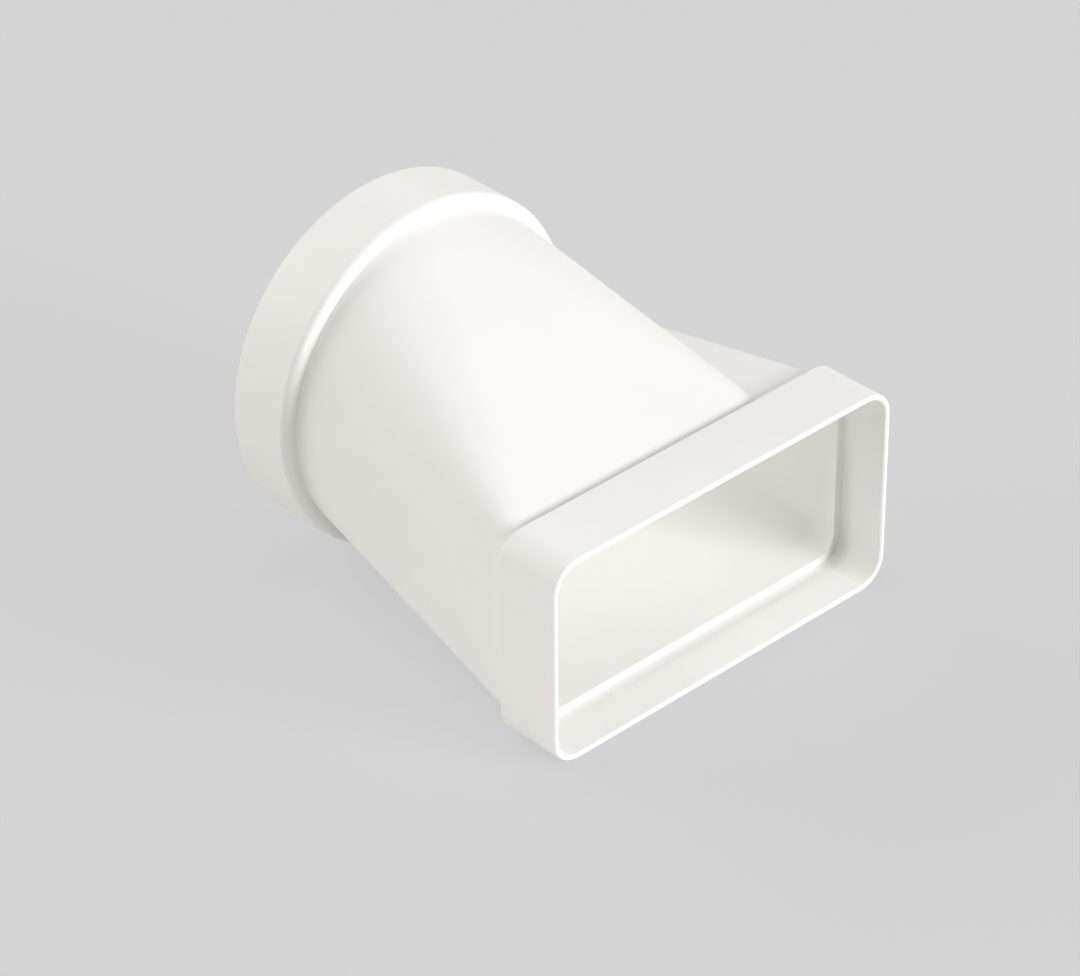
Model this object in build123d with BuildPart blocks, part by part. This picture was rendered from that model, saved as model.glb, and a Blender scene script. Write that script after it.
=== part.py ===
"""Eccentric duct adapter: a flat rectangular socket at one end, a round socket at the other.

One moulded piece. It lies on its underside, with the flow along Y: the flat mouth
faces -Y and the round mouth faces +Y. The two collars are flush underneath and on the -X side,
so all of the change of section happens at the top and on the +X side.
Units are millimetres. The origin is under the middle of the part, on the surface it lies on.
"""
import os

from build123d import *

os.makedirs("parts", exist_ok=True)

# Sockets: the free space that each duct end slides into
flat_socket_width = 120.4
flat_socket_height = 59.2
flat_socket_corner = 7.0
flat_socket_depth = 15.0
round_socket_diameter = 100.0
round_socket_depth = 15.0

# Collars, and the length from mouth to mouth
wall = 1.6
flat_collar_length = 20.4
round_collar_length = 20.6
overall_length = 123.0

# The throat is set in from each collar by this step, inside and out
flat_neck_step = 2.4
round_neck_step = 3.7

# Edges
shoulder_radius = 2.2
edge_chamfer = 0.4

# Edges this close to a plane across the flow count as lying in it
same_plane = 0.001

# Outside of the collars
flat_width = flat_socket_width + 2 * wall
flat_height = flat_socket_height + 2 * wall
flat_corner = flat_socket_corner + wall
round_diameter = round_socket_diameter + 2 * wall

# Places along the flow
flat_mouth = -overall_length / 2
flat_stop = flat_mouth + flat_socket_depth
flat_neck = flat_mouth + flat_collar_length
round_mouth = overall_length / 2
round_stop = round_mouth - round_socket_depth
round_neck = round_mouth - round_collar_length

# Section centres, as (x, z): both collars touch the floor and share the -X side
flat_centre = (0, flat_height / 2)
round_centre = ((round_diameter - flat_width) / 2, round_diameter / 2)

# Outline of the throat where it leaves each collar
neck_left = -flat_width / 2 + flat_neck_step
neck_right = flat_width / 2 - flat_neck_step
neck_bottom = flat_neck_step
neck_top = flat_height - flat_neck_step
neck_corner = flat_corner - flat_neck_step / 2
neck_radius = round_diameter / 2 - round_neck_step


def section_plane(y):
    """Plane across the flow at y, with sketch axes along +X and +Z."""
    return Plane.XZ.offset(-y)


def edges_at(build, y):
    """Edges in the plane across the flow at y."""
    return build.edges().filter_by_position(Axis.Y, y - same_plane, y + same_plane)


def quarter_arc(y, centre, radius, turn):
    """Quarter circle across the flow at y, anticlockwise from turn quarters past +X."""
    arc_plane = Plane(origin=(centre[0], y, centre[1]), x_dir=(1, 0, 0), z_dir=(0, -1, 0))
    return Edge.make_circle(radius, arc_plane, 90 * turn, 90 * turn + 90)


def patch(*corners):
    """Flat face between corner points."""
    return Face(Wire.make_polygon(corners))


def funnel(inset):
    """Main run of the throat: a rectangle as wide as the round neck, folded into the circle.

    It is folded as sheet metal would be: a flat triangle from each straight side to the circle,
    and a slanted cone from each rounded corner to a quarter of the circle.
    """
    corner = neck_corner - inset
    radius = neck_radius - inset
    left = neck_left + inset + corner
    right = round_centre[0] + radius - corner
    low = neck_bottom + inset + corner
    high = neck_top - inset - corner
    flat_arcs = []
    round_arcs = []
    for turn, centre in enumerate([(right, high), (left, high), (left, low), (right, low)]):
        flat_arcs.append(quarter_arc(flat_neck, centre, corner, turn))
        round_arcs.append(quarter_arc(round_neck, round_centre, radius, turn))
    skin = []
    flat_outline = []
    for turn in range(4):
        start = flat_arcs[turn] @ 1
        end = flat_arcs[(turn + 1) % 4] @ 0
        skin.append(Face.make_surface_from_curves(flat_arcs[turn], round_arcs[turn]))
        skin.append(patch(start, end, round_arcs[turn] @ 1))
        flat_outline += [flat_arcs[turn], Edge.make_line(start, end)]
    skin.append(Face(Wire(flat_outline)))
    skin.append(Face(Wire(round_arcs)))
    return Solid(Shell(skin))


def wing(inset):
    """Rest of the flat duct's width on the +X side, run out to the side of the circle.

    Its rounded upper edge keeps the flat duct's corner and dives into the funnel, so nothing of
    the wing stands above the flat duct and the mould's cores can be drawn straight out.
    """
    corner = neck_corner - inset
    radius = neck_radius - inset
    middle, axis_height = round_centre
    right = neck_right - inset - corner
    bottom = neck_bottom + inset
    top = neck_top - inset
    flat_low = quarter_arc(flat_neck, (right, bottom + corner), corner, 3)
    flat_high = quarter_arc(flat_neck, (right, top - corner), corner, 0)
    round_low = quarter_arc(round_neck, round_centre, radius, 3)
    round_high = quarter_arc(round_neck, (middle + radius - corner, axis_height), corner, 0)
    flat_foot = Vector(middle, flat_neck, bottom)
    flat_head = Vector(middle, flat_neck, top)
    round_foot = round_low @ 0
    round_head = Vector(middle, round_neck, axis_height + corner)
    flat_outline = [
        Edge.make_line(flat_foot, flat_low @ 0),
        flat_low,
        Edge.make_line(flat_low @ 1, flat_high @ 0),
        flat_high,
        Edge.make_line(flat_high @ 1, flat_head),
        Edge.make_line(flat_head, flat_foot),
    ]
    round_outline = [
        round_low,
        round_high,
        Edge.make_line(round_high @ 1, round_head),
        Edge.make_line(round_head, round_foot),
    ]
    skin = [
        Face.make_surface_from_curves(flat_low, round_low),
        Face.make_surface_from_curves(flat_high, round_high),
        patch(flat_low @ 1, flat_high @ 0, round_low @ 1),
        patch(flat_foot, flat_low @ 0, round_foot),
        patch(flat_high @ 1, flat_head, round_head, round_high @ 1),
        patch(flat_head, flat_foot, round_foot, round_head),
        Face(Wire(flat_outline)),
        Face(Wire(round_outline)),
    ]
    return Solid(Shell(skin))


with BuildPart() as duct_adapter:
    # Collars, as solid blocks
    with BuildSketch(section_plane(flat_mouth)):
        with Locations(flat_centre):
            RectangleRounded(flat_width, flat_height, flat_corner)
    extrude(amount=-flat_collar_length)
    chamfer(edges_at(duct_adapter, flat_neck), edge_chamfer)
    with BuildSketch(section_plane(round_mouth)):
        with Locations(round_centre):
            Circle(round_diameter / 2)
    extrude(amount=round_collar_length)
    fillet(edges_at(duct_adapter, round_neck), shoulder_radius)

    # Throat between them
    add(funnel(0))
    add(wing(0))

    # The way through: flat socket, throat, round socket
    with BuildSketch(section_plane(flat_mouth)):
        with Locations(flat_centre):
            RectangleRounded(flat_socket_width, flat_socket_height, flat_socket_corner)
    extrude(amount=-flat_socket_depth, mode=Mode.SUBTRACT)
    with BuildSketch(section_plane(flat_stop)):
        with Locations(flat_centre):
            RectangleRounded(
                flat_width - 2 * (flat_neck_step + wall),
                flat_height - 2 * (flat_neck_step + wall),
                neck_corner - wall,
            )
    extrude(amount=flat_socket_depth - flat_collar_length, mode=Mode.SUBTRACT)
    add(funnel(wall), mode=Mode.SUBTRACT)
    add(wing(wall), mode=Mode.SUBTRACT)
    with BuildSketch(section_plane(round_mouth)):
        with Locations(round_centre):
            Circle(round_socket_diameter / 2)
    extrude(amount=round_socket_depth, mode=Mode.SUBTRACT)
    with BuildSketch(section_plane(round_stop)):
        with Locations(round_centre):
            Circle(neck_radius - wall)
    extrude(amount=round_collar_length - round_socket_depth, mode=Mode.SUBTRACT)

    # Broken edges on both rims
    chamfer(edges_at(duct_adapter, flat_mouth) + edges_at(duct_adapter, round_mouth), edge_chamfer)

duct_adapter.part.label = "duct_adapter"
export_step(duct_adapter.part, "parts/duct_adapter.step")
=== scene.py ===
# %% [markdown]
# # A moulded duct adapter in white plastic
# The object is one injection-moulded piece: a flat socket at the front, a round socket at the
# back, and a folded throat between them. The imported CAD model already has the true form, so this
# script gives it a clean skin, a satin plastic finish, a pale studio and a camera.

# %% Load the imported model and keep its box
import math

import bmesh
import bpy
from mathutils import Matrix, Vector


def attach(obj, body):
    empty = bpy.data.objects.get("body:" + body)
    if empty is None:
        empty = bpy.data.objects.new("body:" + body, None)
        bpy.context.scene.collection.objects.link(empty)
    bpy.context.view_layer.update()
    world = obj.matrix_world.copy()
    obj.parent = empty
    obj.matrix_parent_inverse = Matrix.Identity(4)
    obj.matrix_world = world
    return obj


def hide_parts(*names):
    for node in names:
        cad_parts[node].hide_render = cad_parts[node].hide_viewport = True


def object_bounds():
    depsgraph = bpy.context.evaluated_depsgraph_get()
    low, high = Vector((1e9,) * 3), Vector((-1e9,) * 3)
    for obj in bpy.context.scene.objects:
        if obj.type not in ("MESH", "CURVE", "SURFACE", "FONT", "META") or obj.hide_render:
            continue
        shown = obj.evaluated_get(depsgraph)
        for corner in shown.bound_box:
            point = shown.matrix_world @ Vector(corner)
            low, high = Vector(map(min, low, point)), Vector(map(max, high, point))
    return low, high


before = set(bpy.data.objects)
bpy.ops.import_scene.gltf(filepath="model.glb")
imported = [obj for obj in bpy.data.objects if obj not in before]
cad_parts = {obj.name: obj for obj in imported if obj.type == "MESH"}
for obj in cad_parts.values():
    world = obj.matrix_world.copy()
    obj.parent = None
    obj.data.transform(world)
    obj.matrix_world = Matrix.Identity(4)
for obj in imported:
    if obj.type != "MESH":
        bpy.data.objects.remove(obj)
cad_low, cad_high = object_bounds()
print("CAD box", tuple(cad_low), tuple(cad_high))

# %% [markdown]
# ## The moulded skin
# The real part is one closed skin with crisp edges at the rims, the stops and the foot of each
# collar. The CAD node arrives as loose triangles, so light breaks at every one of them. A copy with
# its doubles merged shades as one skin, and the normals stored with the triangles are dropped.
# Smoothing all of it would round the stops away, so sharp angles stay crisp. Normals are weighted
# by area, so the flat triangles of the throat stay flat right up to the cones beside them.

# %% Make the skin from the CAD node
MERGE_DISTANCE = 1e-6
CRISP_ANGLE = math.radians(24)


def merged_skin(node, name):
    """Copy of a CAD node as one closed, smooth-shaded mesh."""
    mesh = node.data.copy()
    mesh.name = name
    cleaner = bmesh.new()
    cleaner.from_mesh(mesh)
    bmesh.ops.remove_doubles(cleaner, verts=cleaner.verts, dist=MERGE_DISTANCE)
    cleaner.to_mesh(mesh)
    cleaner.free()
    mesh.materials.clear()
    if mesh.has_custom_normals:
        mesh.attributes.remove(mesh.attributes["custom_normal"])
    mesh.polygons.foreach_set("use_smooth", [True] * len(mesh.polygons))
    mesh.set_sharp_from_angle(angle=CRISP_ANGLE)
    skin = bpy.data.objects.new(name, mesh)
    bpy.context.scene.collection.objects.link(skin)
    weighting = skin.modifiers.new("flat_faces_stay_flat", "WEIGHTED_NORMAL")
    weighting.keep_sharp = True
    return skin


adapter = merged_skin(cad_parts["duct_adapter"], "adapter_skin")
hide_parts("duct_adapter")
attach(adapter, "root")
print("skin", len(adapter.data.vertices), "points", len(adapter.data.polygons), "faces")

# %% [markdown]
# ## Satin white plastic
# The real part is warm white, with the fine satin grain that a mould's surface leaves. Two scales
# of noise are enough: a slow one shifts the tone by a hair, as thick and thin walls do, and a fine
# one breaks up the gloss and the normal. Everything reads Object coordinates, which are metres here.

# %% Build the plastic
WARM_WHITE = (0.902, 0.899, 0.873, 1.0)
WARM_SHADE = (0.885, 0.880, 0.852, 1.0)
PLASTIC_IOR = 1.5
TONE_SCALE = 28.0
TONE_DETAIL = 3.0
SHADE_BELOW = 0.3
WHITE_ABOVE = 0.6
GRAIN_SCALE = 2600.0
GRAIN_DETAIL = 2.0
GRAIN_HEIGHT = 0.000012
GRAIN_STRENGTH = 0.5
ROUGH_LOW = 0.42
ROUGH_HIGH = 0.52


def satin_plastic(name):
    """Warm white moulded plastic with a faint grain."""
    material = bpy.data.materials.new(name)
    material.use_nodes = True
    nodes = material.node_tree.nodes
    links = material.node_tree.links
    shader = nodes["Principled BSDF"]
    shader.inputs["IOR"].default_value = PLASTIC_IOR
    place = nodes.new("ShaderNodeTexCoord")

    tone = nodes.new("ShaderNodeTexNoise")
    tone.inputs["Scale"].default_value = TONE_SCALE
    tone.inputs["Detail"].default_value = TONE_DETAIL
    links.new(place.outputs["Object"], tone.inputs["Vector"])
    colour = nodes.new("ShaderNodeValToRGB")
    colour.color_ramp.elements[0].position = SHADE_BELOW
    colour.color_ramp.elements[0].color = WARM_SHADE
    colour.color_ramp.elements[1].position = WHITE_ABOVE
    colour.color_ramp.elements[1].color = WARM_WHITE
    links.new(tone.outputs["Fac"], colour.inputs["Fac"])
    links.new(colour.outputs["Color"], shader.inputs["Base Color"])

    grain = nodes.new("ShaderNodeTexNoise")
    grain.inputs["Scale"].default_value = GRAIN_SCALE
    grain.inputs["Detail"].default_value = GRAIN_DETAIL
    links.new(place.outputs["Object"], grain.inputs["Vector"])
    gloss = nodes.new("ShaderNodeMapRange")
    gloss.inputs["To Min"].default_value = ROUGH_LOW
    gloss.inputs["To Max"].default_value = ROUGH_HIGH
    links.new(grain.outputs["Fac"], gloss.inputs["Value"])
    links.new(gloss.outputs["Result"], shader.inputs["Roughness"])
    bump = nodes.new("ShaderNodeBump")
    bump.inputs["Distance"].default_value = GRAIN_HEIGHT
    bump.inputs["Strength"].default_value = GRAIN_STRENGTH
    links.new(grain.outputs["Fac"], bump.inputs["Height"])
    links.new(bump.outputs["Normal"], shader.inputs["Normal"])
    return material


adapter.data.materials.append(satin_plastic("satin_white_plastic"))
print("material", adapter.data.materials[0].name)

# %% [markdown]
# ## Floor and background
# The picture has one even pale grey behind the object. The floor is a plain matt plane; towards
# the camera most of its tone is a constant grey, so the horizon vanishes, and the rest is real
# shading, so the object's soft shadow still shows where it stands.

# %% Lay the floor
EVEN_GREY = (0.612, 0.615, 0.617, 1.0)
FLOOR_WHITE = (0.90, 0.90, 0.90, 1.0)
FLOOR_SIZE = 12.0
FLOOR_SHADING = 0.15


def pale_floor():
    """Large matt plane at the part's foot that looks evenly grey to the camera."""
    material = bpy.data.materials.new("pale_floor")
    material.use_nodes = True
    nodes = material.node_tree.nodes
    links = material.node_tree.links
    nodes.clear()
    output = nodes.new("ShaderNodeOutputMaterial")
    matt = nodes.new("ShaderNodeBsdfDiffuse")
    matt.inputs["Color"].default_value = FLOOR_WHITE
    even = nodes.new("ShaderNodeEmission")
    even.inputs["Color"].default_value = EVEN_GREY
    seen = nodes.new("ShaderNodeMixShader")
    seen.inputs["Fac"].default_value = FLOOR_SHADING
    links.new(even.outputs["Emission"], seen.inputs[1])
    links.new(matt.outputs["BSDF"], seen.inputs[2])
    rays = nodes.new("ShaderNodeLightPath")
    by_ray = nodes.new("ShaderNodeMixShader")
    links.new(rays.outputs["Is Camera Ray"], by_ray.inputs["Fac"])
    links.new(matt.outputs["BSDF"], by_ray.inputs[1])
    links.new(seen.outputs["Shader"], by_ray.inputs[2])
    links.new(by_ray.outputs["Shader"], output.inputs["Surface"])

    half = FLOOR_SIZE / 2
    corners = [(-half, -half), (half, -half), (half, half), (-half, half)]
    mesh = bpy.data.meshes.new("floor")
    mesh.from_pydata([(x, y, cad_low.z) for x, y in corners], [], [(0, 1, 2, 3)])
    mesh.materials.append(material)
    floor = bpy.data.objects.new("floor", mesh)
    bpy.context.scene.collection.objects.link(floor)
    return floor


floor = pale_floor()
print("floor", FLOOR_SIZE, "m wide")

# %% [markdown]
# ## Surround
# In a studio, light also comes back from the walls. In the picture the shaded sides are a touch
# warm, so the surround is too. It could do all of the lighting, but a strong surround washes out
# the dark line beside each step, so it stays weak. The camera sees the backdrop's grey instead.

# %% Set the surround
SURROUND = 0.32
WARM = (1.00, 0.96, 0.94)
BACKDROP_GREY = (0.651, 0.658, 0.651, 1.0)

scene = bpy.context.scene
world = bpy.data.worlds.new("white_surround")
world.use_nodes = True
world_nodes = world.node_tree.nodes
world_links = world.node_tree.links
surround = world_nodes["Background"]
surround.inputs["Color"].default_value = (*WARM, 1.0)
surround.inputs["Strength"].default_value = SURROUND
behind = world_nodes.new("ShaderNodeBackground")
behind.inputs["Color"].default_value = BACKDROP_GREY
world_rays = world_nodes.new("ShaderNodeLightPath")
world_mix = world_nodes.new("ShaderNodeMixShader")
world_links.new(world_rays.outputs["Is Camera Ray"], world_mix.inputs["Fac"])
world_links.new(surround.outputs["Background"], world_mix.inputs[1])
world_links.new(behind.outputs["Background"], world_mix.inputs[2])
world_links.new(world_mix.outputs["Shader"], world_nodes["World Output"].inputs["Surface"])
scene.world = world
print("surround", SURROUND)

# %% [markdown]
# ## Lamps
# The picture has soft shadows: every face is bright, yet each step has a clear dark line beside it.
# Five soft lamps give that. The key stands in front on the right, where the socket's own wall keeps
# it off the right-hand stop. One lamp hangs above and a faint one stands at the left. Two stand
# behind and shine through the round mouth, because the floor inside the real part is as bright as
# its top.

# %% Set the lamps
LAMP_DISTANCE = 4.0
WHITE = (1.0, 1.0, 1.0)
# Each lamp: its direction from the part, the edge of its square, its power and its colour
LAMPS = {
    "key": ((0.36, -0.86, 0.33), 1.6, 132.0, WHITE),
    "top": ((0.00, -0.05, 1.00), 2.6, 34.0, WHITE),
    "back": ((-0.10, 0.88, 0.46), 1.6, 37.0, WHITE),
    "back_left": ((-0.45, 0.80, 0.40), 1.6, 46.4, WARM),
    "side": ((-0.76, 0.52, 0.40), 1.3, 7.4, WARM),
}

centre = (cad_low + cad_high) / 2


def soft_lamp(name, direction, size, power, colour):
    """Square soft lamp that looks at the middle of the part from a direction."""
    outward = Vector(direction).normalized()
    data = bpy.data.lights.new(name, "AREA")
    data.size = size
    data.energy = power
    data.color = colour
    lamp = bpy.data.objects.new(name, data)
    lamp.location = centre + outward * LAMP_DISTANCE
    lamp.rotation_mode = "QUATERNION"
    lamp.rotation_quaternion = (-outward).to_track_quat("-Z", "Y")
    scene.collection.objects.link(lamp)


for lamp_name, (direction, size, power, colour) in LAMPS.items():
    soft_lamp(lamp_name, direction, size, power, colour)
print("lamps", ", ".join(LAMPS))

# %% [markdown]
# ## Camera
# The camera was solved from the picture: its direction, its distance and the long lens that makes
# the flat mouth's sides converge as they do there. The aim is a point on the flow line of the flat
# socket, which the picture shows a little right of its centre.

# %% Place the camera
PICTURE = (1080, 976)
AZIMUTH = math.radians(-43.5)
ELEVATION = math.radians(34.0)
ROLL = math.radians(-0.36)
FOCAL_PIXELS = 4602.0
CAMERA_DISTANCE = 1.2314
AIM_POINT = Vector((0.0, -0.00485, 0.0312))
AIM_PIXEL = (574.4, 488.4)
SENSOR_WIDTH = 36.0
CLIP_END = 100.0

back = Vector((
    math.sin(AZIMUTH) * math.cos(ELEVATION),
    -math.cos(AZIMUTH) * math.cos(ELEVATION),
    math.sin(ELEVATION),
))
level_right = Vector((math.cos(AZIMUTH), math.sin(AZIMUTH), 0.0))
level_up = back.cross(level_right)
right = level_right * math.cos(ROLL) + level_up * math.sin(ROLL)
up = level_up * math.cos(ROLL) - level_right * math.sin(ROLL)
metres_per_pixel = CAMERA_DISTANCE / FOCAL_PIXELS
aside = (AIM_PIXEL[0] - PICTURE[0] / 2) * metres_per_pixel
above = (PICTURE[1] / 2 - AIM_PIXEL[1]) * metres_per_pixel
place = AIM_POINT + back * CAMERA_DISTANCE - right * aside - up * above

camera_data = bpy.data.cameras.new("camera")
camera_data.sensor_fit = "HORIZONTAL"
camera_data.sensor_width = SENSOR_WIDTH
camera_data.lens = FOCAL_PIXELS / PICTURE[0] * SENSOR_WIDTH
camera_data.clip_end = CLIP_END
camera = bpy.data.objects.new("camera", camera_data)
camera.matrix_world = Matrix((
    (right.x, up.x, back.x, place.x),
    (right.y, up.y, back.y, place.y),
    (right.z, up.z, back.z, place.z),
    (0.0, 0.0, 0.0, 1.0),
))
scene.collection.objects.link(camera)
scene.camera = camera
scene.view_settings.view_transform = "Standard"
print("lens", round(camera_data.lens, 1), "mm")
